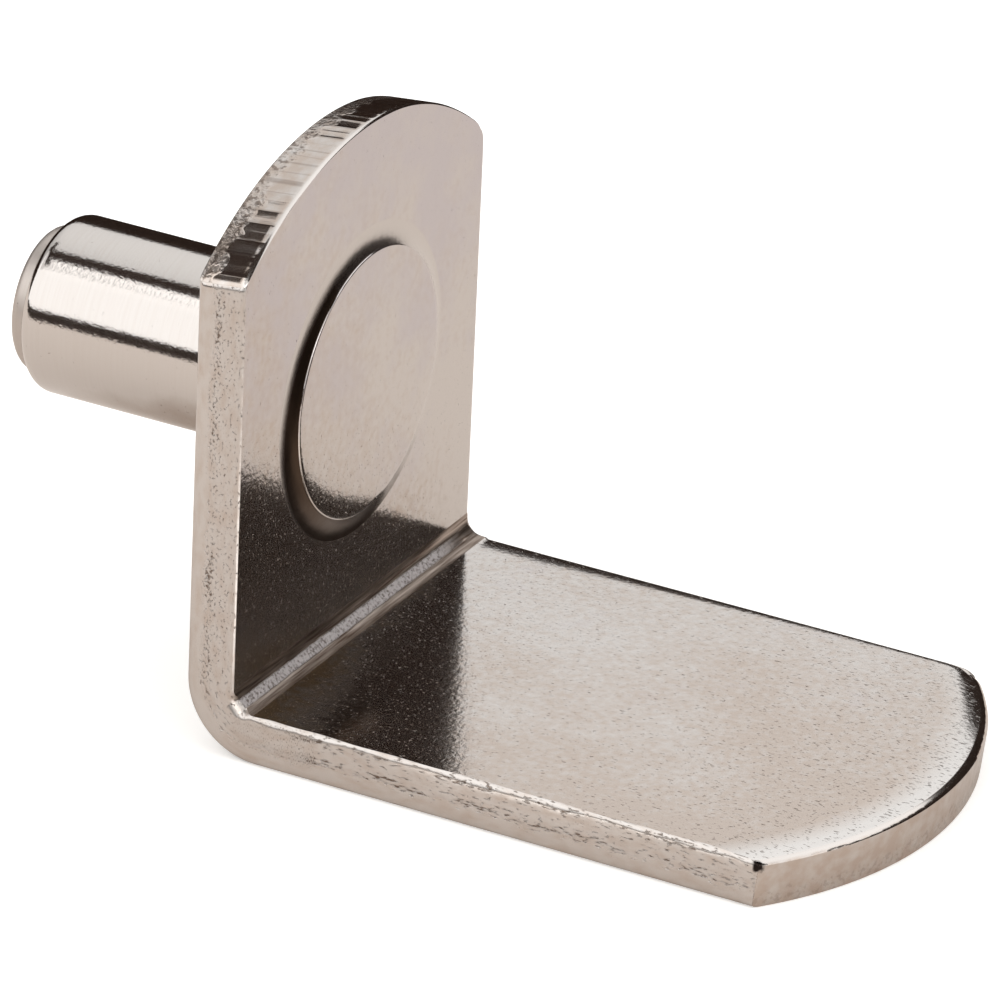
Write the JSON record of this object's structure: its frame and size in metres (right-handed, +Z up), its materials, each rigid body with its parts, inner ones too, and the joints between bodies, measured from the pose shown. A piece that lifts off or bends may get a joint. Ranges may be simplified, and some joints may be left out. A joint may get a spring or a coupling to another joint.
{
  "type": "shelf support pin",
  "caption": "L-shaped shelf support: a bent metal strip with rounded ends and a short round pin riveted through its upright leg, for a drilled cabinet side.",
  "frame": {"origin": "where the pin's axis meets the back face of the upright leg", "axes": "+X along the arm that carries the shelf, -X along the pin into the cabinet side, +Y across the strip, +Z up"},
  "size_m": [0.028, 0.0132, 0.0162],
  "materials": {
    "plate": "polished",
    "pin": "polished"
  },
  "bodies": {
    "root": {"angle_plate": "plate", "support_pin": "pin"}
  },
  "joints": []
}
